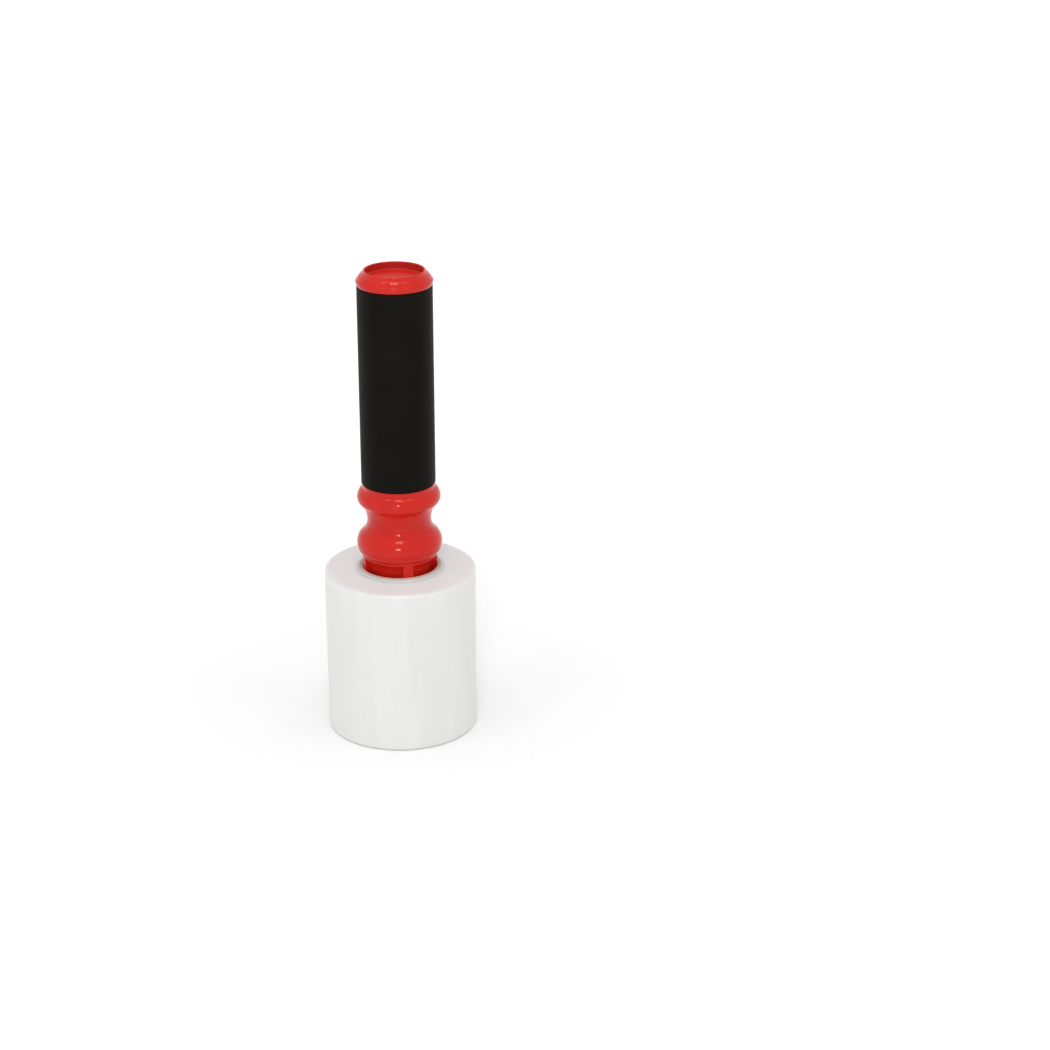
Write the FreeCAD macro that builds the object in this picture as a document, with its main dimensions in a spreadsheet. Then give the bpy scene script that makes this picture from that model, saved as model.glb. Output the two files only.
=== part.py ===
import FreeCAD, Part
import math
import os
import Sketcher

# A small roll of stretch wrap on its hand dispenser, standing on the end of the film.
# The handle's ribbed plug is pushed into the paper core, and the grip sleeve turns on the handle's
# tube, so the hand stays still while the film pays out.
# Millimetres. +Z runs up the roll's axis, from the middle of the end that the roll stands on.

SIZES = {
    # Film
    "film_width": 100.0,
    "film_diameter": 89.6,
    "film_edge_round": 1.8,
    # The first turns stand up beside the core, higher than the rest
    "starter_thickness": 0.9,
    "starter_drop": 0.35,
    # Fine grooves between groups of turns, on both ends
    "turn_groove_depth": 0.15,
    "turn_groove_width": 0.7,
    # Paper core
    "core_bore": 44.0,
    "core_wall": 2.4,
    "core_proud": 1.6,
    "core_edge_bevel": 0.4,
    # Plug of the handle, inside the core
    "plug_depth": 62.0,
    "plug_slip": 0.05,
    "panel_recess": 3.1,
    "panel_cove": 4.8,
    "plug_wall": 2.2,
    "plug_end_bevel": 1.0,
    "rib_width": 6.0,
    "rib_lead": 3.0,
    "rib_turn": 12.5,
    # Outside of the handle, as heights above the core's rim
    "collar_foot": 7.0,
    "collar_top": 8.0,
    "low_bead_height": 15.2,
    "low_bead_diameter": 50.4,
    "waist_height": 29.2,
    "waist_diameter": 37.7,
    "waist_curve": 9.2,
    "waist_wall": 1.88,
    "crease_height": 39.3,
    "crease_diameter": 44.7,
    "high_bead_height": 43.5,
    "high_bead_diameter": 49.2,
    # Neck that carries the grip's lower end, a little narrower than the grip
    "neck_foot": 49.3,
    "neck_height": 52.1,
    "neck_step": 0.4,
    # Grip, and the tube that it turns on
    "grip_diameter": 43.5,
    "grip_wall": 2.2,
    "grip_length": 119.0,
    "grip_edge_bevel": 0.4,
    "grip_running_gap": 0.08,
    "grip_end_play": 0.3,
    "tube_wall": 2.5,
    "web_height": 22.0,
    "web_thickness": 3.0,
    # End cap, as heights above the tube's end
    "cap_diameter": 44.4,
    "cap_edge_diameter": 43.2,
    "cap_brim_middle": 2.5,
    "cap_brim_top": 3.6,
    "cap_dome_reach": 13.5,
    "cap_ring_diameter": 36.2,
    "cap_ring_wall": 1.3,
    "cap_ring_foot": 7.5,
    "cap_ring_top": 8.5,
    "cap_dish_height": 3.9,
    "cap_dish_bevel": 0.6,
    "cap_plate": 2.2,
    "cap_skirt_length": 13.0,
    "cap_skirt_wall": 2.0,
    "cap_skirt_slip": 0.05,
    "cap_skirt_lead": 1.0,
}

# How many grooves each end of the film shows, and how many ribs the plug has.
TURN_GROOVES = 3
PLUG_RIBS = 4

# A length is kept as a pair: its value now, and the expression that ties it to the sheet.
NOTHING = (0.0, "")


def size(**terms):
    """A length added up from named sizes, each with its share."""
    value = sum(SIZES[name] * share for name, share in terms.items())
    return value, " + ".join(f"Sizes.{name} * ({share!r})" for name, share in terms.items())


def plus(first, second):
    return first[0] + second[0], f"{first[1]} + {second[1]}"


def minus(first, second):
    return first[0] - second[0], f"{first[1]} - ({second[1]})"


def between(first, second, share):
    """The length that lies a share of the way from one length to another."""
    value = first[0] + (second[0] - first[0]) * share
    return value, f"({first[1]}) * {1 - share!r} + ({second[1]}) * {share!r}"


# Radii and heights that several pieces share.
CORE_OUTSIDE = size(core_bore=0.5, core_wall=1)
CORE_RIM = size(film_width=1, core_proud=1)
RIB_RADIUS = size(core_bore=0.5, plug_slip=-1)
PANEL_RADIUS = minus(RIB_RADIUS, size(panel_recess=1))
NECK_TOP = size(plug_depth=1, neck_height=1)
TUBE_RADIUS = size(grip_diameter=0.5, grip_wall=-1, grip_running_gap=-1)
TUBE_BORE = minus(TUBE_RADIUS, size(tube_wall=1))
TUBE_END = plus(NECK_TOP, size(grip_length=1, grip_end_play=2))
SPINDLE_FOOT = minus(CORE_RIM, size(plug_depth=1))


def make_sheet(doc):
    sheet = doc.addObject("Spreadsheet::Sheet", "Sizes")
    for row, (name, value) in enumerate(SIZES.items(), start=1):
        sheet.set(f"A{row}", name)
        sheet.set(f"B{row}", str(value))
        sheet.setAlias(f"B{row}", name)
    doc.recompute()


def make_body(doc, label, foot=NOTHING):
    """An empty sub-part, placed at the height of its foot on the axis."""
    body = doc.addObject("PartDesign::Body", label)
    body.Label = label
    if foot[1]:
        body.setExpression(".Placement.Base.z", foot[1])
    return body


def origin_feature(body, role):
    return next(item for item in body.Origin.OriginFeatures if item.Role == role)


def make_sketch(body, name, plane):
    sketch = body.newObject("Sketcher::SketchObject", name)
    sketch.AttachmentSupport = (origin_feature(body, plane), [""])
    sketch.MapMode = "FlatFace"
    return sketch


def drive(sketch, expression, *terms):
    """Add a constraint whose value follows the sheet."""
    index = sketch.addConstraint(Sketcher.Constraint(*terms))
    sketch.setExpression(f"Constraints[{index}]", expression)


def hold_across(sketch, geometry, end, across):
    if across[1]:
        drive(sketch, across[1], "DistanceX", -1, 1, geometry, end, across[0])
    else:
        sketch.addConstraint(Sketcher.Constraint("PointOnObject", geometry, end, -2))


def hold_up(sketch, geometry, end, up):
    if up[1]:
        drive(sketch, up[1], "DistanceY", -1, 1, geometry, end, up[0])
    else:
        sketch.addConstraint(Sketcher.Constraint("PointOnObject", geometry, end, -1))


class Outline:
    """A closed section through one side of a turned piece, upright beside the axis."""

    def __init__(self, body, name, across, up):
        self.sketch = make_sketch(body, name, "XZ_Plane")
        self.start = (across, up)
        self.here = self.start
        self.first = None
        self.last = None

    def add(self, curve, near, far, tangent=False):
        """Add a curve and tie its near end to the curve before it."""
        geometry = self.sketch.addGeometry(curve)
        if self.last is None:
            self.first = (geometry, near)
            hold_across(self.sketch, geometry, near, self.start[0])
            hold_up(self.sketch, geometry, near, self.start[1])
        else:
            kind = "Tangent" if tangent else "Coincident"
            self.sketch.addConstraint(Sketcher.Constraint(kind, *self.last, geometry, near))
        self.last = (geometry, far)
        return geometry

    def add_arc(self, start, end, centre, tangent=False):
        """Add the shorter arc between two points. A circle's arc runs against the clock."""
        from_centre = [(point[0] - centre[0], point[1] - centre[1]) for point in (start, end)]
        turn = from_centre[0][0] * from_centre[1][1] - from_centre[0][1] * from_centre[1][0]
        angles = [math.atan2(y, x) for x, y in from_centre]
        circle = Part.Circle(
            FreeCAD.Vector(centre[0], centre[1], 0), FreeCAD.Vector(0, 0, 1), math.hypot(*from_centre[0])
        )
        if turn > 0:
            return self.add(Part.ArcOfCircle(circle, angles[0], angles[1]), 1, 2, tangent)
        return self.add(Part.ArcOfCircle(circle, angles[1], angles[0]), 2, 1, tangent)

    def hold_end(self, across, up):
        hold_across(self.sketch, *self.last, across)
        hold_up(self.sketch, *self.last, up)
        self.here = (across, up)

    def line(self, across, up):
        start = FreeCAD.Vector(self.here[0][0], self.here[1][0], 0)
        self.add(Part.LineSegment(start, FreeCAD.Vector(across[0], up[0], 0)), 1, 2)
        self.hold_end(across, up)

    def arc_level(self, across, up, centre_up):
        """An arc whose centre lies at a given height."""
        (x, y), (far_x, far_y) = [(point[0][0], point[1][0]) for point in (self.here, (across, up))]
        level = centre_up[0]
        centre_x = (far_x**2 - x**2 + (far_y - level) ** 2 - (y - level) ** 2) / (2 * (far_x - x))
        geometry = self.add_arc((x, y), (far_x, far_y), (centre_x, level))
        self.hold_end(across, up)
        hold_up(self.sketch, geometry, 3, centre_up)

    def arc_beside(self, across, up, centre_across):
        """An arc whose centre lies at a given distance from the axis."""
        (x, y), (far_x, far_y) = [(point[0][0], point[1][0]) for point in (self.here, (across, up))]
        side = centre_across[0]
        centre_y = (far_y**2 - y**2 + (far_x - side) ** 2 - (x - side) ** 2) / (2 * (far_y - y))
        geometry = self.add_arc((x, y), (far_x, far_y), (side, centre_y))
        self.hold_end(across, up)
        hold_across(self.sketch, geometry, 3, centre_across)

    def bead_to_waist(self, across, up, curve):
        """Two arcs that run into each other, upright at both ends. The curve is the waist's radius."""
        (bead_x, bead_y), (waist_x, waist_y) = [(point[0][0], point[1][0]) for point in (self.here, (across, up))]
        swell = bead_x - waist_x
        rise = waist_y - bead_y
        bead_curve = (swell**2 + rise**2) / (2 * swell) - curve[0]
        bead_centre = (bead_x - bead_curve, bead_y)
        waist_centre = (waist_x + curve[0], waist_y)
        share = bead_curve / (bead_curve + curve[0])
        meeting = tuple(a + (b - a) * share for a, b in zip(bead_centre, waist_centre))
        bead_up = self.here[1]
        bead = self.add_arc((bead_x, bead_y), meeting, bead_centre)
        hold_up(self.sketch, bead, 3, bead_up)
        waist = self.add_arc(meeting, (waist_x, waist_y), waist_centre, tangent=True)
        self.hold_end(across, up)
        hold_up(self.sketch, waist, 3, up)
        drive(self.sketch, curve[1], "Radius", waist, curve[0])

    def close(self):
        ends = [FreeCAD.Vector(across[0], up[0], 0) for across, up in (self.here, self.start)]
        self.add(Part.LineSegment(*ends), 1, 2)
        self.sketch.addConstraint(Sketcher.Constraint("Coincident", *self.last, *self.first))
        return self.sketch


def turn(body, kind, name, outline):
    """Turn a closed outline about the upright axis, to add or to cut material."""
    feature = body.newObject(f"PartDesign::{kind}", name)
    feature.Profile = outline.close()
    feature.ReferenceAxis = (outline.sketch, ["V_Axis"])
    feature.Angle = 360
    return feature


def turn_grooves(outline, near, far, floor, depth):
    """Fine grooves in an end of the film, evenly spaced from one radius to the other."""
    away = 0.5 if far[0] > near[0] else -0.5
    for number in range(1, TURN_GROOVES + 1):
        middle = between(near, far, number / (TURN_GROOVES + 1))
        outline.line(plus(middle, size(turn_groove_width=-away)), floor)
        outline.line(middle, plus(floor, depth))
        outline.line(plus(middle, size(turn_groove_width=away)), floor)


def make_film_roll(doc):
    body = make_body(doc, "film_roll")
    side = size(film_diameter=0.5)
    shoulder = size(film_diameter=0.5, film_edge_round=-1)
    starter = plus(CORE_OUTSIDE, size(starter_thickness=1))
    starter_end = minus(CORE_RIM, size(starter_drop=1))
    end = size(film_width=1)
    low_round = size(film_edge_round=1)
    high_round = size(film_width=1, film_edge_round=-1)
    bottom = size(film_width=0)
    outline = Outline(body, "film_section", CORE_OUTSIDE, NOTHING)
    turn_grooves(outline, starter, shoulder, bottom, size(turn_groove_depth=1))
    outline.line(shoulder, NOTHING)
    outline.arc_level(side, low_round, low_round)
    outline.line(side, high_round)
    outline.arc_level(shoulder, end, high_round)
    turn_grooves(outline, shoulder, starter, end, size(turn_groove_depth=-1))
    outline.line(starter, end)
    outline.line(starter, starter_end)
    outline.line(CORE_OUTSIDE, starter_end)
    turn(body, "Revolution", "film_turns", outline)
    return body


def make_paper_core(doc):
    body = make_body(doc, "paper_core")
    bore = size(core_bore=0.5)
    bevel_height = minus(CORE_RIM, size(core_edge_bevel=1))
    outline = Outline(body, "core_section", bore, NOTHING)
    outline.line(CORE_OUTSIDE, NOTHING)
    outline.line(CORE_OUTSIDE, bevel_height)
    outline.line(minus(CORE_OUTSIDE, size(core_edge_bevel=1)), CORE_RIM)
    outline.line(plus(bore, size(core_edge_bevel=1)), CORE_RIM)
    outline.line(bore, bevel_height)
    turn(body, "Revolution", "core_wall", outline)
    return body


def above_rim(**terms):
    """A height on the spindle, given above the core's rim."""
    return size(plug_depth=1, **terms)


def add_turned_spindle(body):
    """Plug, collar, two beads, neck and tube in one section, with a web that closes the plug's inside."""
    inside = minus(PANEL_RADIUS, size(plug_wall=1))
    cove_foot = above_rim(collar_foot=1, panel_cove=-1)
    low_bead = above_rim(low_bead_height=1)
    waist = above_rim(waist_height=1)
    high_bead = above_rim(high_bead_height=1)
    neck = size(grip_diameter=0.5, neck_step=-1)
    waist_bore = size(waist_diameter=0.5, waist_wall=-1)
    web_foot = above_rim(web_height=1)
    web_top = above_rim(web_height=1, web_thickness=1)

    outline = Outline(body, "spindle_section", inside, NOTHING)
    outline.line(minus(PANEL_RADIUS, size(plug_end_bevel=1)), NOTHING)
    outline.line(PANEL_RADIUS, size(plug_end_bevel=1))
    outline.line(PANEL_RADIUS, cove_foot)
    outline.arc_level(RIB_RADIUS, above_rim(collar_foot=1), cove_foot)
    outline.line(RIB_RADIUS, above_rim(collar_top=1))
    outline.arc_level(size(low_bead_diameter=0.5), low_bead, low_bead)
    outline.bead_to_waist(size(waist_diameter=0.5), waist, size(waist_curve=1))
    outline.arc_level(size(crease_diameter=0.5), above_rim(crease_height=1), waist)
    outline.arc_level(size(high_bead_diameter=0.5), high_bead, high_bead)
    outline.arc_level(neck, above_rim(neck_foot=1), high_bead)
    outline.line(neck, NECK_TOP)
    outline.line(TUBE_RADIUS, NECK_TOP)
    outline.line(TUBE_RADIUS, TUBE_END)
    outline.line(TUBE_BORE, TUBE_END)
    outline.line(TUBE_BORE, NECK_TOP)
    outline.line(waist_bore, high_bead)
    outline.line(waist_bore, web_top)
    outline.line(NOTHING, web_top)
    outline.line(NOTHING, web_foot)
    outline.line(inside, web_foot)
    turn(body, "Revolution", "spindle_turned", outline)


def add_ribs(doc, body):
    """Ribs along the plug that grip the core, from the plug's end up into the collar."""
    sketch = make_sketch(body, "rib_section", "XY_Plane")
    sketch.setExpression(".AttachmentOffset.Rotation.Angle", "Sizes.rib_turn * 1 deg")
    root = between(PANEL_RADIUS, minus(PANEL_RADIUS, size(plug_wall=1)), 0.5)
    half = size(rib_width=0.5)
    reach = RIB_RADIUS[0]
    tip = math.sqrt(reach**2 - half[0] ** 2)
    corners = [(tip, -half[0]), (root[0], -half[0]), (root[0], half[0]), (tip, half[0])]
    vectors = [FreeCAD.Vector(x, y, 0) for x, y in corners]
    for start, end in zip(vectors, vectors[1:]):
        sketch.addGeometry(Part.LineSegment(start, end))
    spread = math.asin(half[0] / reach)
    circle = Part.Circle(FreeCAD.Vector(0, 0, 0), FreeCAD.Vector(0, 0, 1), reach)
    sketch.addGeometry(Part.ArcOfCircle(circle, -spread, spread))
    for number in (0, 1):
        sketch.addConstraint(Sketcher.Constraint("Coincident", number, 2, number + 1, 1))
    sketch.addConstraint(Sketcher.Constraint("Coincident", 2, 2, 3, 2))
    sketch.addConstraint(Sketcher.Constraint("Coincident", 0, 1, 3, 1))
    sketch.addConstraint(Sketcher.Constraint("Coincident", 3, 3, -1, 1))
    sketch.addConstraint(Sketcher.Constraint("Horizontal", 0))
    sketch.addConstraint(Sketcher.Constraint("Horizontal", 2))
    sketch.addConstraint(Sketcher.Constraint("Symmetric", 1, 1, 1, 2, -1))
    drive(sketch, "Sizes.rib_width", "Distance", 1, SIZES["rib_width"])
    drive(sketch, root[1], "DistanceX", -1, 1, 1, 1, root[0])
    drive(sketch, RIB_RADIUS[1], "Radius", 3, reach)

    rib = body.newObject("PartDesign::Pad", "rib")
    rib.Profile = sketch
    rib.setExpression("Length", above_rim(collar_foot=1)[1])
    doc.recompute()

    ribs = body.newObject("PartDesign::PolarPattern", "ribs")
    ribs.Originals = [rib]
    ribs.Axis = (origin_feature(body, "Z_Axis"), [""])
    ribs.Angle = 360
    ribs.Occurrences = PLUG_RIBS
    body.Tip = ribs
    doc.recompute()


def taper_ribs(body):
    """Bevel the ribs' lower ends, so that the plug finds its way into the core."""
    clear = plus(RIB_RADIUS, size(rib_lead=1))
    outline = Outline(body, "lead_section", PANEL_RADIUS, NOTHING)
    outline.line(clear, NOTHING)
    outline.line(clear, size(rib_lead=1))
    outline.line(RIB_RADIUS, size(rib_lead=1))
    body.Tip = turn(body, "Groove", "rib_leads", outline)


def make_spindle(doc):
    body = make_body(doc, "spindle", SPINDLE_FOOT)
    add_turned_spindle(body)
    doc.recompute()
    add_ribs(doc, body)
    taper_ribs(body)
    return body


def make_grip_sleeve(doc):
    foot = plus(SPINDLE_FOOT, plus(NECK_TOP, size(grip_end_play=1)))
    body = make_body(doc, "grip_sleeve", foot)
    outside = size(grip_diameter=0.5)
    bore = size(grip_diameter=0.5, grip_wall=-1)
    bevelled = size(grip_diameter=0.5, grip_edge_bevel=-1)
    end = size(grip_length=1)
    outline = Outline(body, "grip_section", bore, NOTHING)
    outline.line(bevelled, NOTHING)
    outline.line(outside, size(grip_edge_bevel=1))
    outline.line(outside, size(grip_length=1, grip_edge_bevel=-1))
    outline.line(bevelled, end)
    outline.line(bore, end)
    turn(body, "Revolution", "grip_wall", outline)
    return body


def above_tube(**terms):
    """A height on the end cap, given above the tube's end that it sits on."""
    return size(cap_skirt_length=1, **terms)


def make_end_cap(doc):
    foot = minus(plus(SPINDLE_FOOT, TUBE_END), size(cap_skirt_length=1))
    body = make_body(doc, "end_cap", foot)
    skirt = minus(TUBE_BORE, size(cap_skirt_slip=1))
    skirt_inside = minus(skirt, size(cap_skirt_wall=1))
    brim_middle = above_tube(cap_brim_middle=1)
    crest_foot = above_tube(cap_ring_top=1, cap_ring_wall=-0.5)
    ring = size(cap_ring_diameter=0.5)
    ring_inside = size(cap_ring_diameter=0.5, cap_ring_wall=-1)
    dish = above_tube(cap_dish_height=1)
    underside = above_tube(cap_dish_height=1, cap_plate=-1)

    outline = Outline(body, "cap_section", skirt_inside, NOTHING)
    outline.line(minus(skirt, size(cap_skirt_lead=0.5)), NOTHING)
    outline.line(skirt, size(cap_skirt_lead=1))
    outline.line(skirt, above_tube())
    outline.line(size(cap_edge_diameter=0.5), above_tube())
    outline.arc_level(size(cap_diameter=0.5), brim_middle, brim_middle)
    outline.arc_level(size(cap_edge_diameter=0.5), above_tube(cap_brim_top=1), brim_middle)
    outline.arc_beside(ring, above_tube(cap_ring_foot=1), size(cap_dome_reach=1))
    outline.line(ring, crest_foot)
    outline.arc_level(size(cap_ring_diameter=0.5, cap_ring_wall=-0.5), above_tube(cap_ring_top=1), crest_foot)
    outline.arc_level(ring_inside, crest_foot, crest_foot)
    outline.line(ring_inside, plus(dish, size(cap_dish_bevel=1)))
    outline.line(minus(ring_inside, size(cap_dish_bevel=1)), dish)
    outline.line(NOTHING, dish)
    outline.line(NOTHING, underside)
    outline.line(skirt_inside, underside)
    turn(body, "Revolution", "cap_turned", outline)
    return body


def check(doc, parts):
    """Stop if anything in the document failed, or a sketch can still move."""
    for item in doc.Objects:
        if "Invalid" in item.State or "Error" in item.State:
            raise RuntimeError(f"{item.Name} failed: {item.State}")
        if item.TypeId == "Sketcher::SketchObject" and not item.FullyConstrained:
            raise RuntimeError(f"{item.Name} is not fully held")
    for part in parts:
        if part.Shape.isNull() or not part.Shape.isValid():
            raise RuntimeError(f"{part.Label} has no valid shape")


def main():
    doc = FreeCAD.newDocument("stretch_wrap_roll")
    make_sheet(doc)
    makers = (make_film_roll, make_paper_core, make_spindle, make_grip_sleeve, make_end_cap)
    parts = [maker(doc) for maker in makers]
    doc.recompute()
    check(doc, parts)
    os.makedirs("parts", exist_ok=True)
    for part in parts:
        part.Shape.exportStep(f"parts/{part.Label}.step")
        box = part.Shape.BoundBox
        print(
            f"{part.Label}: {len(part.Shape.Solids)} solid, {part.Shape.Volume / 1000:.1f} cm3,",
            f"z {box.ZMin:.2f} to {box.ZMax:.2f}, width {box.XLength:.2f}",
        )


main()
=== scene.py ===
import math

import bpy
import numpy as np
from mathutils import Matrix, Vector


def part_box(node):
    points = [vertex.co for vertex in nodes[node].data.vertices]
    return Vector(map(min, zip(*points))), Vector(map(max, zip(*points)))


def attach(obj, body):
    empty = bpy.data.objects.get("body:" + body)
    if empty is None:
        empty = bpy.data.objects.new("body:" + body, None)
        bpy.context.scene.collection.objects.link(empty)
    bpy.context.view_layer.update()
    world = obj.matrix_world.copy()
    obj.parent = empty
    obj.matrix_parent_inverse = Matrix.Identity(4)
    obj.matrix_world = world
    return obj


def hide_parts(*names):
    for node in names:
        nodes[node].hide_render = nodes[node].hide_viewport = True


# A hand roll of stretch wrap on its red dispenser handle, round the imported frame. Metres.

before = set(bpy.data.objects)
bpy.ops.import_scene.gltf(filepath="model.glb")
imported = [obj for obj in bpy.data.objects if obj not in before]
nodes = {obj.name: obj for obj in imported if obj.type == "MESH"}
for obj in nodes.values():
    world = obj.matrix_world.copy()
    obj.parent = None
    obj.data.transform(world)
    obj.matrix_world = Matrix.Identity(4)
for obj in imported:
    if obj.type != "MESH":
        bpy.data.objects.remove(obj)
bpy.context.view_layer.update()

MM = 0.001
FULL_TURN = 2.0 * math.pi

# Camera, solved from the photo. Pixels are of its 1050 x 1050 frame.
# The pitch is down from level and the yaw to the right, in degrees.
IMAGE_PX = 1050
SENSOR_MM = 36.0
FOCAL_PX = 2400.0
CAMERA_PLACE = (0.0, -1.3171, 0.6490)
CAMERA_PITCH = 21.68
CAMERA_YAW = 3.223
CAMERA_REACH = (0.05, 50.0)

# The paper core
CORE_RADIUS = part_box("paper_core")[1].x
CORE_WALL = 2.4 * MM
CORE_BORE = CORE_RADIUS - CORE_WALL

# The film, as it is wound. Its first turns stand up beside the core as the starter.
FILM_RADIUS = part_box("film_roll")[1].x
FILM_WIDTH = 100.0 * MM
FILM_EDGE = 1.8 * MM
SHOULDER = FILM_RADIUS - FILM_EDGE
STARTER_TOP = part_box("film_roll")[1].z
STARTER_RADIUS = CORE_RADIUS + 0.9 * MM
STARTER_BEVEL = 0.2 * MM

# Relief of the film. Each turn ends at its own height, and both ends are a little hollow by the core.
TURN_PITCH = 0.55 * MM
TURN_RELIEF = 0.07 * MM
TURN_HEIGHTS = 64
HOLLOW_DEPTH = 0.25 * MM
HOLLOW_REACH = 7.0 * MM
SIDE_RELIEF = 0.10 * MM

# Steps of the film's mesh
AROUND = 288
STEPS_PER_TURN = 3
EDGE_STEPS = 8
SIDE_STEPS = 48

# Edges sharper than this stay corners, in degrees
CAD_CORNER = 35.0
FILM_CORNER = 50.0

# Radii on the film's rounded edge: where its painted shade is darkest, and from where it is as white
# as the side
EDGE_DARKEST = FILM_RADIUS - 0.5 * MM
SIDE_START = FILM_RADIUS - 0.15 * MM

# How far light spreads inside the film, for red, green and blue
FILM_SPREAD = (5.0 * MM, 5.0 * MM, 4.6 * MM)
FILM_LINES_PER_METRE = 1800.0

# The slanting joint of the core's ply: its climb in one turn, and half its width in turns
JOINT_CLIMB = 95.0 * MM
JOINT_HALF = 0.006
PLIES_PER_METRE = 2600.0

# The dish in the end cap is what lies above this height and within this radius
DISH_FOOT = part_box("grip_sleeve")[1].z + 2.0 * MM
DISH_RADIUS = 16.8 * MM

# Colours, as linear values
FILM_WHITE = (0.852, 0.85, 0.839)
FILM_SHADE = (0.81, 0.808, 0.796)
FILM_END = (0.78, 0.792, 0.782)
# Painted shade on the film's rounded edge
FILM_EDGE_PAINTED_SHADE = (0.70, 0.70, 0.69)
# Painted light: a paler, bluer tone for the upper end, against the red light thrown by the handle
FILM_END_PAINTED_PALE = (0.80, 0.87, 0.86)
# Painted shade on the film's ends in the corner by the core
FILM_CORE_PAINTED_SHADE = (0.66, 0.67, 0.66)
KRAFT = (0.34, 0.265, 0.215)
KRAFT_DARK = (0.24, 0.18, 0.14)
KRAFT_RIM = (0.66, 0.55, 0.49)
RED = (0.638, 0.016, 0.009)
RED_DEEP = (0.598, 0.013, 0.007)
# Painted shade on the wall of the dish in the end cap
RED_DISH_PAINTED_SHADE = (0.45, 0.016, 0.010)
BLACK = (0.0045, 0.0042, 0.0030)
BLACK_LIGHT = (0.0065, 0.0060, 0.0045)
FLOOR_WHITE = (0.86, 0.868, 0.872)
FLOOR_WARM = (0.86, 0.862, 0.864)
GLOW = (1.0, 0.95, 0.94)
WHITE = (1.0, 1.0, 1.0)

# What the floor gives out where it is seen directly. It rises with the distance from the axis,
# from near to far over one stretch, and by the rest over a longer one.
# It evens the floor into white, and being weaker near the roll, it leaves painted shade round it.
GLOW_NEAR_WITH_PAINTED_SHADE = 0.11
GLOW_FAR = 0.33
GLOW_STRETCH = (0.05, 0.40)
GLOW_BEYOND = 0.20
BEYOND_STRETCH = (0.30, 1.50)
FLOOR_HALF = 8.0

# Strength of the world's light on the object, from the camera's side and from the back,
# and the directions' Y between which it changes
WORLD_FRONT = 0.54
WORLD_BACK = 0.79
WORLD_CHANGE = (-0.9, 0.1)

# Lamps: azimuth and elevation in degrees, width, height and radiance.
# Azimuth 0 is the photo's side, and it turns towards +X.
LAMPS = {
    "low_front": (-3.0, 21.0, 0.20, 0.16, 49.0),
    "high_front": (-1.0, 70.0, 0.40, 0.40, 7.0),
    "high_left": (-60.0, 68.0, 0.30, 0.30, 3.3),
    "high_right": (60.0, 68.0, 0.30, 0.30, 2.5),
    "low_left": (-28.0, 12.0, 0.16, 0.10, 3.0),
}
LAMP_DISTANCE = 1.5
LAMP_AIM = Vector((0.0, 0.0, 0.14))


class Nodes:
    """A small helper that lays out the nodes of one tree."""

    def __init__(self, tree):
        self.tree = tree

    def put(self, socket, value):
        """Link a socket to another, or give it a plain value."""
        if isinstance(value, bpy.types.NodeSocket):
            self.tree.links.new(value, socket)
        elif socket.type == "RGBA":
            socket.default_value = (*value, 1.0)
        else:
            socket.default_value = value

    def node(self, kind, settings=None, inputs=None):
        made = self.tree.nodes.new(kind)
        for key, value in (settings or {}).items():
            setattr(made, key, value)
        for key, value in (inputs or {}).items():
            self.put(made.inputs[key], value)
        return made

    def math(self, operation, *values):
        inputs = dict(enumerate(values))
        return self.node("ShaderNodeMath", {"operation": operation}, inputs).outputs[0]

    def times(self, first, second):
        return self.math("MULTIPLY", first, second)

    def spread(self, value, low, high, new_low=0.0, new_high=1.0, smooth=False):
        """Map one range of values to another, and hold the ends."""
        inputs = {
            "Value": value, "From Min": low, "From Max": high, "To Min": new_low, "To Max": new_high,
        }
        settings = {"interpolation_type": "SMOOTHSTEP" if smooth else "LINEAR"}
        return self.node("ShaderNodeMapRange", settings, inputs).outputs["Result"]

    def seen_directly(self):
        """1 for what the camera, a mirror or clear glass sees, and 0 for light on the object."""
        path = self.node("ShaderNodeLightPath").outputs
        seen = self.math("MAXIMUM", path["Is Camera Ray"], path["Is Glossy Ray"])
        return self.math("MAXIMUM", seen, path["Is Transmission Ray"])

    def choose_seen(self, otherwise, seen):
        """One shader for light on the object, and another for what is seen directly."""
        inputs = {0: self.seen_directly(), 1: otherwise, 2: seen}
        return self.node("ShaderNodeMixShader", None, inputs).outputs[0]


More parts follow.
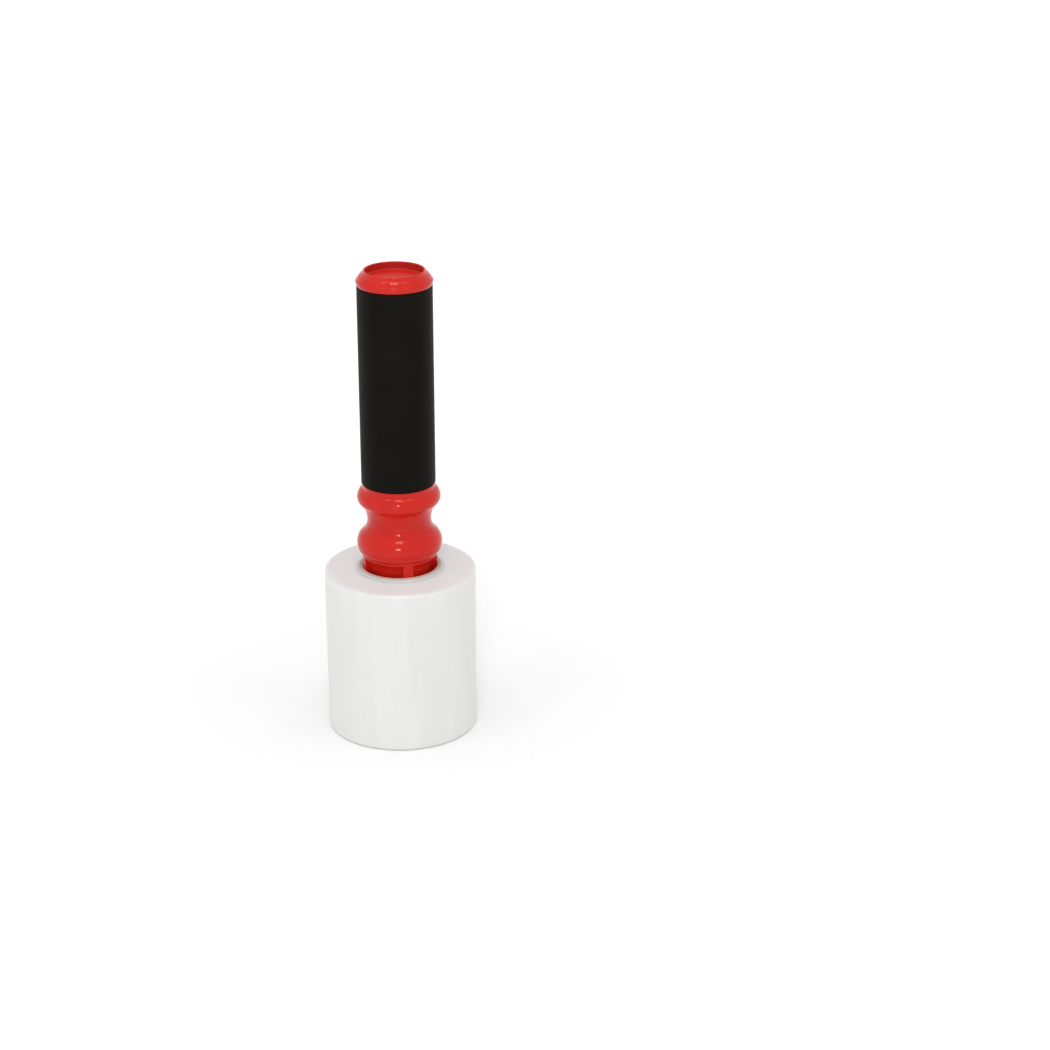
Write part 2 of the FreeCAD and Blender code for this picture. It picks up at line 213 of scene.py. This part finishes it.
class Shader(Nodes):
    """A material and the nodes of its surface."""

    def __init__(self, name):
        self.material = bpy.data.materials.new(name)
        self.material.use_nodes = True
        super().__init__(self.material.node_tree)
        self.principled = self.tree.nodes["Principled BSDF"]
        self.output = self.tree.nodes["Material Output"]

    def place(self):
        """The shaded point in the object's own coordinates."""
        return self.node("ShaderNodeTexCoord").outputs["Object"]

    def round_axis(self):
        """Radius, turns round the axis from -0.5 to 0.5, and height of the shaded point."""
        axes = self.node("ShaderNodeSeparateXYZ", None, {0: self.place()}).outputs
        squares = self.math("ADD", self.times(axes["X"], axes["X"]), self.times(axes["Y"], axes["Y"]))
        radius = self.math("SQRT", squares)
        turns = self.math("DIVIDE", self.math("ARCTAN2", axes["Y"], axes["X"]), FULL_TURN)
        return radius, turns, axes["Z"]

    def point(self, x, y, z):
        return self.node("ShaderNodeCombineXYZ", None, {0: x, 1: y, 2: z}).outputs[0]

    def stretched_up(self, vector, share):
        """A place with its height cut to a share, which draws a pattern out along the axis."""
        inputs = {0: vector, 1: (1.0, 1.0, share)}
        return self.node("ShaderNodeVectorMath", {"operation": "MULTIPLY"}, inputs).outputs[0]

    def noise(self, vector, scale, detail=3.0, roughness=0.55):
        inputs = {"Vector": vector, "Scale": scale, "Detail": detail, "Roughness": roughness}
        return self.node("ShaderNodeTexNoise", None, inputs).outputs["Fac"]

    def mix(self, share, first, second):
        """Mix two colours. The node takes them on its sockets 6 and 7 and gives one on 2."""
        made = self.node("ShaderNodeMix", {"data_type": "RGBA"})
        self.put(made.inputs[0], share)
        self.put(made.inputs[6], first)
        self.put(made.inputs[7], second)
        return made.outputs[2]

    def bump(self, height, distance, strength=1.0, normal=None):
        inputs = {"Height": height, "Distance": distance, "Strength": strength}
        if normal is not None:
            inputs["Normal"] = normal
        return self.node("ShaderNodeBump", None, inputs).outputs["Normal"]

    def finish(self, **sockets):
        """Fill sockets of the main shader, whose names are given with _ for a space."""
        for name, value in sockets.items():
            self.put(self.principled.inputs[name.replace("_", " ")], value)
        return self.material


def red_plastic():
    """Glossy moulded plastic, a little uneven as mouldings are."""
    shader = Shader("red_plastic")
    place = shader.place()
    cloud = shader.noise(place, scale=60.0)
    grain = shader.noise(place, scale=900.0, detail=2.0)
    colour = shader.mix(shader.spread(cloud, 0.35, 0.65), RED, RED_DEEP)
    normal = shader.bump(cloud, distance=0.08 * MM, strength=0.5)
    normal = shader.bump(grain, distance=0.004 * MM, strength=0.6, normal=normal)
    rough = shader.spread(grain, 0.3, 0.7, new_low=0.09, new_high=0.13)

    # The dish in the cap's end is duller, and its wall is painted darker: painted shade
    radius, _, height = shader.round_axis()
    within = shader.spread(radius, DISH_RADIUS, DISH_RADIUS + 0.3 * MM, new_low=1.0, new_high=0.0)
    in_dish = shader.times(shader.math("GREATER_THAN", height, DISH_FOOT), within)
    rough = shader.math("ADD", rough, shader.times(in_dish, 0.3))
    painted_shade_on_wall = shader.spread(radius, DISH_RADIUS - 0.7 * MM, DISH_RADIUS - 0.2 * MM)
    colour = shader.mix(shader.times(in_dish, painted_shade_on_wall), colour, RED_DISH_PAINTED_SHADE)
    return shader.finish(
        Base_Color=colour, Roughness=rough, Normal=normal, IOR=1.5, Specular_IOR_Level=0.22,
    )


def black_plastic():
    """The grip: fine-grained plastic with a faint sheen."""
    shader = Shader("black_plastic")
    place = shader.place()
    grain = shader.noise(place, scale=1400.0, detail=2.0)
    cloud = shader.noise(place, scale=45.0)
    colour = shader.mix(shader.spread(cloud, 0.35, 0.65), BLACK, BLACK_LIGHT)
    normal = shader.bump(grain, distance=0.03 * MM, strength=0.7)
    rough = shader.spread(cloud, 0.3, 0.7, new_low=0.50, new_high=0.60)
    return shader.finish(
        Base_Color=colour, Roughness=rough, Normal=normal, IOR=1.45, Specular_IOR_Level=0.06,
    )


def kraft_board():
    """Grey-brown paper tube: short fibres, the slanting joint of its wound ply, plies on its rim."""
    shader = Shader("kraft_board")
    place = shader.place()
    radius, turns, height = shader.round_axis()
    fibres = shader.noise(shader.stretched_up(place, 0.35), scale=1500.0, detail=4.0, roughness=0.7)
    cloud = shader.noise(place, scale=220.0)
    colour = shader.mix(shader.spread(cloud, 0.3, 0.7), KRAFT, KRAFT_DARK)
    colour = shader.mix(shader.spread(fibres, 0.45, 0.8, new_high=0.5), colour, KRAFT_DARK)

    slant = shader.math("FRACT", shader.math("ADD", turns, shader.math("DIVIDE", height, JOINT_CLIMB)))
    off_joint = shader.math("ABSOLUTE", shader.math("SUBTRACT", slant, 0.5))
    joint = shader.spread(off_joint, 0.0, JOINT_HALF, new_low=1.0, new_high=0.0)
    colour = shader.mix(shader.times(joint, 0.6), colour, KRAFT_DARK)

    layers = shader.point(shader.times(radius, PLIES_PER_METRE), turns, 0.0)
    plies = shader.noise(layers, scale=1.0, detail=1.0)
    rim = shader.mix(shader.spread(plies, 0.4, 0.7, new_high=0.5), KRAFT_RIM, KRAFT)
    off_bore = shader.spread(radius, CORE_BORE + 0.05 * MM, CORE_BORE + 0.4 * MM)
    colour = shader.mix(off_bore, colour, rim)
    normal = shader.bump(fibres, distance=0.08 * MM, strength=0.8)
    return shader.finish(Base_Color=colour, Roughness=0.85, Normal=normal)


def wrap_film():
    """Many turns of clear film: milky white in depth, glossy outside, and greyer by the core with
    painted shade.
    """
    shader = Shader("wrap_film")
    radius, turns, height = shader.round_axis()
    place = shader.place()
    bands = shader.noise(shader.stretched_up(place, 0.04), scale=420.0)
    cloud = shader.noise(shader.stretched_up(place, 0.12), scale=60.0)
    white = shader.mix(shader.spread(cloud, 0.35, 0.65), FILM_WHITE, FILM_SHADE)
    white = shader.mix(shader.spread(bands, 0.45, 0.75, new_high=0.35), white, FILM_SHADE)

    # The upper end is painted paler and bluer towards the core: painted light that cancels the red
    # light the handle throws on it. The rounded edge is painted a little darker than the side: painted
    # shade
    painted_pale_middle = shader.spread(radius, 26.0 * MM, 42.0 * MM, new_low=1.0, new_high=0.0, smooth=True)
    painted_pale_middle = shader.times(painted_pale_middle, shader.math("GREATER_THAN", height, FILM_WIDTH / 2))
    end = shader.mix(painted_pale_middle, FILM_END, FILM_END_PAINTED_PALE)
    white = shader.mix(shader.spread(radius, EDGE_DARKEST, SIDE_START), FILM_EDGE_PAINTED_SHADE, white)
    white = shader.mix(shader.spread(radius, SHOULDER, EDGE_DARKEST), end, white)

    # Right beside the core the film is painted grey: painted shade in the corner by the core
    painted_shade_by_core = shader.spread(
        radius, CORE_RADIUS + 0.6 * MM, CORE_RADIUS + 4.0 * MM, new_low=1.0, new_high=0.0, smooth=True,
    )
    colour = shader.mix(shader.math("POWER", painted_shade_by_core, 2.0), white, FILM_CORE_PAINTED_SHADE)

    # Fine lines round the roll, and bands along it
    across = shader.times(height, FILM_LINES_PER_METRE)
    lines = shader.noise(shader.point(0.0, shader.times(turns, 1.5), across), scale=1.0)
    normal = shader.bump(lines, distance=0.03 * MM, strength=0.35)
    normal = shader.bump(bands, distance=0.10 * MM, strength=0.35, normal=normal)

    # The ends are dull, the side has a gloss, and the rounded edge the most
    on_end = shader.spread(radius, SHOULDER, SHOULDER + 0.2 * MM, new_low=1.0, new_high=0.0)
    on_side = shader.spread(radius, FILM_RADIUS - 0.4 * MM, SIDE_START)
    gloss = shader.spread(on_side, 0.0, 1.0, new_low=0.8, new_high=0.25)
    coat = shader.times(gloss, shader.math("SUBTRACT", 1.0, on_end))
    rough = shader.spread(lines, 0.3, 0.7, new_low=0.30, new_high=0.42)
    rough = shader.math("ADD", rough, shader.times(on_end, 0.3))
    return shader.finish(
        Base_Color=colour, Roughness=rough, Normal=normal, IOR=1.5,
        Subsurface_Weight=0.35, Subsurface_Radius=FILM_SPREAD, Subsurface_Scale=1.0,
        Coat_Weight=coat, Coat_Roughness=0.08,
    )


def smooth(obj, degrees):
    """Shade the curved faces smoothly and keep the corners."""
    obj.data.shade_smooth()
    obj.data.set_sharp_from_angle(angle=math.radians(degrees))


def dress(node, material):
    """Give a CAD node its material."""
    obj = nodes[node]
    obj.data.materials.clear()
    obj.data.materials.append(material)
    smooth(obj, CAD_CORNER)


def eased(values, at):
    """Values between the whole steps of a list that repeats, eased from one to the next."""
    low = np.floor(at).astype(int)
    share = at - low
    share = share * share * (3.0 - 2.0 * share)
    count = len(values)
    return values[low % count] * (1.0 - share) + values[(low + 1) % count] * share


def smooth_random(seed, knots):
    """Smooth random values from -1 to 1 round the roll, which close on themselves."""
    values = np.random.RandomState(seed).uniform(-1.0, 1.0, knots)
    return eased(values, np.arange(AROUND) / AROUND * knots)


def film_profile():
    """Section of the film: the lower end outwards, up the side, the upper end inwards, the starter."""
    turns = int((SHOULDER - STARTER_RADIUS) / TURN_PITCH)
    steps = np.linspace(STARTER_RADIUS, SHOULDER, turns * STEPS_PER_TURN + 1)
    corner = np.linspace(0.0, math.pi / 2, EDGE_STEPS + 1)[1:-1]
    arc = [(FILM_EDGE * math.sin(a), FILM_EDGE * math.cos(a)) for a in corner]
    side_top = FILM_WIDTH - FILM_EDGE
    points = [(CORE_RADIUS, 0.0, "foot")]
    points += [(r, 0.0, "low end") for r in steps]
    points += [(SHOULDER + sine, FILM_EDGE - cosine, "edge") for sine, cosine in arc]
    points += [(FILM_RADIUS, z, "side") for z in np.linspace(FILM_EDGE, side_top, SIDE_STEPS + 1)]
    points += [(SHOULDER + cosine, side_top + sine, "edge") for sine, cosine in arc]
    points += [(r, FILM_WIDTH, "high end") for r in steps[::-1]]
    points += [(STARTER_RADIUS, STARTER_TOP - STARTER_BEVEL, "starter")]
    points += [(STARTER_RADIUS - STARTER_BEVEL, STARTER_TOP, "starter")]
    points += [(CORE_RADIUS, STARTER_TOP, "starter")]
    return points


def film_rows():
    """The section carried round the axis, with the relief of the turns and of the side."""
    angles = np.arange(AROUND) / AROUND * FULL_TURN
    broad = smooth_random(seed=3, knots=41)
    narrow = smooth_random(seed=4, knots=97)
    band = broad * 0.6 + narrow * 0.4
    sway = smooth_random(seed=5, knots=7)
    turn_heights = np.random.RandomState(11).uniform(0.0, 1.0, TURN_HEIGHTS)
    rows = []
    for r, z, kind in film_profile():
        radii = np.full(AROUND, r)
        heights = np.full(AROUND, z)
        if kind == "side":
            weave = 0.5 + 0.5 * np.sin(z / FILM_WIDTH * 5.0 + sway * 2.0)
            radii = r - SIDE_RELIEF * (0.5 + 0.5 * band * weave)
        elif kind == "edge":
            radii = r - SIDE_RELIEF * 0.5
        elif kind in ("low end", "high end"):
            turn = (r - CORE_RADIUS) / TURN_PITCH - angles / FULL_TURN
            by_core = max(0.0, 1.0 - (r - CORE_RADIUS) / HOLLOW_REACH)
            drop = TURN_RELIEF * eased(turn_heights, turn) + HOLLOW_DEPTH * by_core**2
            heights = z + drop if kind == "low end" else z - drop
        rows.append(np.stack([radii * np.cos(angles), radii * np.sin(angles), heights], axis=1))
    return rows


def make_film():
    """The film as a fine mesh: turns that end unevenly, and a side with faint bands."""
    rows = film_rows()
    faces = []
    for row in range(len(rows)):
        here = row * AROUND
        after = (row + 1) % len(rows) * AROUND
        for column in range(AROUND):
            beside = (column + 1) % AROUND
            faces.append((here + column, here + beside, after + beside, after + column))
    mesh = bpy.data.meshes.new("film_turns")
    mesh.from_pydata(np.concatenate(rows).tolist(), [], faces)
    mesh.validate()
    film = bpy.data.objects.new("film_turns", mesh)
    bpy.context.scene.collection.objects.link(film)
    mesh.materials.append(wrap_film())
    smooth(film, FILM_CORNER)
    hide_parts("film_roll")
    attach(film, "roll")


def floor_white():
    """A dull white that keeps shadows. Seen directly, it glows into the white of the background."""
    shader = Shader("floor_white")
    grain = shader.noise(shader.place(), scale=300.0, detail=2.0)
    colour = shader.mix(shader.spread(grain, 0.4, 0.6), FLOOR_WHITE, FLOOR_WARM)
    shader.finish(Base_Color=colour, Roughness=0.95, Specular_IOR_Level=0.0)
    radius, _, _ = shader.round_axis()
    # Less glow near the roll: painted shade round it
    near = shader.spread(radius, *GLOW_STRETCH, GLOW_NEAR_WITH_PAINTED_SHADE, GLOW_FAR)
    beyond = shader.spread(radius, *BEYOND_STRETCH, 0.0, GLOW_BEYOND)
    strength = shader.math("ADD", near, beyond)
    glow = shader.node("ShaderNodeEmission", None, {"Color": GLOW, "Strength": strength}).outputs[0]
    plain = shader.principled.outputs[0]
    lit = shader.node("ShaderNodeAddShader", None, {0: plain, 1: glow}).outputs[0]
    shader.put(shader.output.inputs["Surface"], shader.choose_seen(plain, lit))
    return shader.material


def add_floor():
    """A wide plain floor under the roll."""
    corners = [(-1, -1), (1, -1), (1, 1), (-1, 1)]
    mesh = bpy.data.meshes.new("floor")
    mesh.from_pydata([(x * FLOOR_HALF, y * FLOOR_HALF, 0.0) for x, y in corners], [], [(0, 1, 2, 3)])
    floor = bpy.data.objects.new("floor", mesh)
    bpy.context.scene.collection.objects.link(floor)
    mesh.materials.append(floor_white())


def add_world():
    """Soft light from all round, weaker from the camera's side. Seen directly, it is plain white."""
    world = bpy.data.worlds.new("studio")
    bpy.context.scene.world = world
    world.use_nodes = True
    sky = Nodes(world.node_tree)
    direction = sky.node("ShaderNodeTexCoord").outputs["Generated"]
    away = sky.node("ShaderNodeSeparateXYZ", None, {0: direction}).outputs["Y"]
    light = sky.tree.nodes["Background"]
    sky.put(light.inputs["Color"], WHITE)
    sky.put(light.inputs["Strength"], sky.spread(away, *WORLD_CHANGE, WORLD_FRONT, WORLD_BACK))
    white = sky.node("ShaderNodeBackground", None, {"Color": WHITE, "Strength": 1.0})
    surface = sky.choose_seen(light.outputs[0], white.outputs[0])
    sky.put(sky.tree.nodes["World Output"].inputs["Surface"], surface)


def add_lamp(name, azimuth, elevation, width, height, radiance):
    """A soft box that faces the object."""
    lamp = bpy.data.lights.new(name, "AREA")
    lamp.shape = "RECTANGLE"
    lamp.size = width
    lamp.size_y = height
    lamp.energy = radiance * math.pi * width * height
    holder = bpy.data.objects.new(name, lamp)
    bpy.context.scene.collection.objects.link(holder)
    a, e = math.radians(azimuth), math.radians(elevation)
    away = Vector((math.sin(a) * math.cos(e), -math.cos(a) * math.cos(e), math.sin(e)))
    holder.location = LAMP_AIM + away * LAMP_DISTANCE
    holder.rotation_mode = "QUATERNION"
    holder.rotation_quaternion = (-away).to_track_quat("-Z", "Y")


def add_camera():
    """The photo's camera."""
    camera = bpy.data.cameras.new("camera")
    camera.sensor_width = SENSOR_MM
    camera.lens = FOCAL_PX / IMAGE_PX * SENSOR_MM
    camera.clip_start, camera.clip_end = CAMERA_REACH
    holder = bpy.data.objects.new("camera", camera)
    bpy.context.scene.collection.objects.link(holder)
    holder.location = CAMERA_PLACE
    holder.rotation_euler = (math.radians(90.0 - CAMERA_PITCH), 0.0, math.radians(-CAMERA_YAW))
    bpy.context.scene.camera = holder


red = red_plastic()
dress("spindle", red)
dress("end_cap", red)
dress("grip_sleeve", black_plastic())
dress("paper_core", kraft_board())
make_film()

add_floor()
add_world()
for lamp_name, lamp_values in LAMPS.items():
    add_lamp(lamp_name, *lamp_values)
add_camera()

bpy.context.scene.view_settings.view_transform = "Standard"
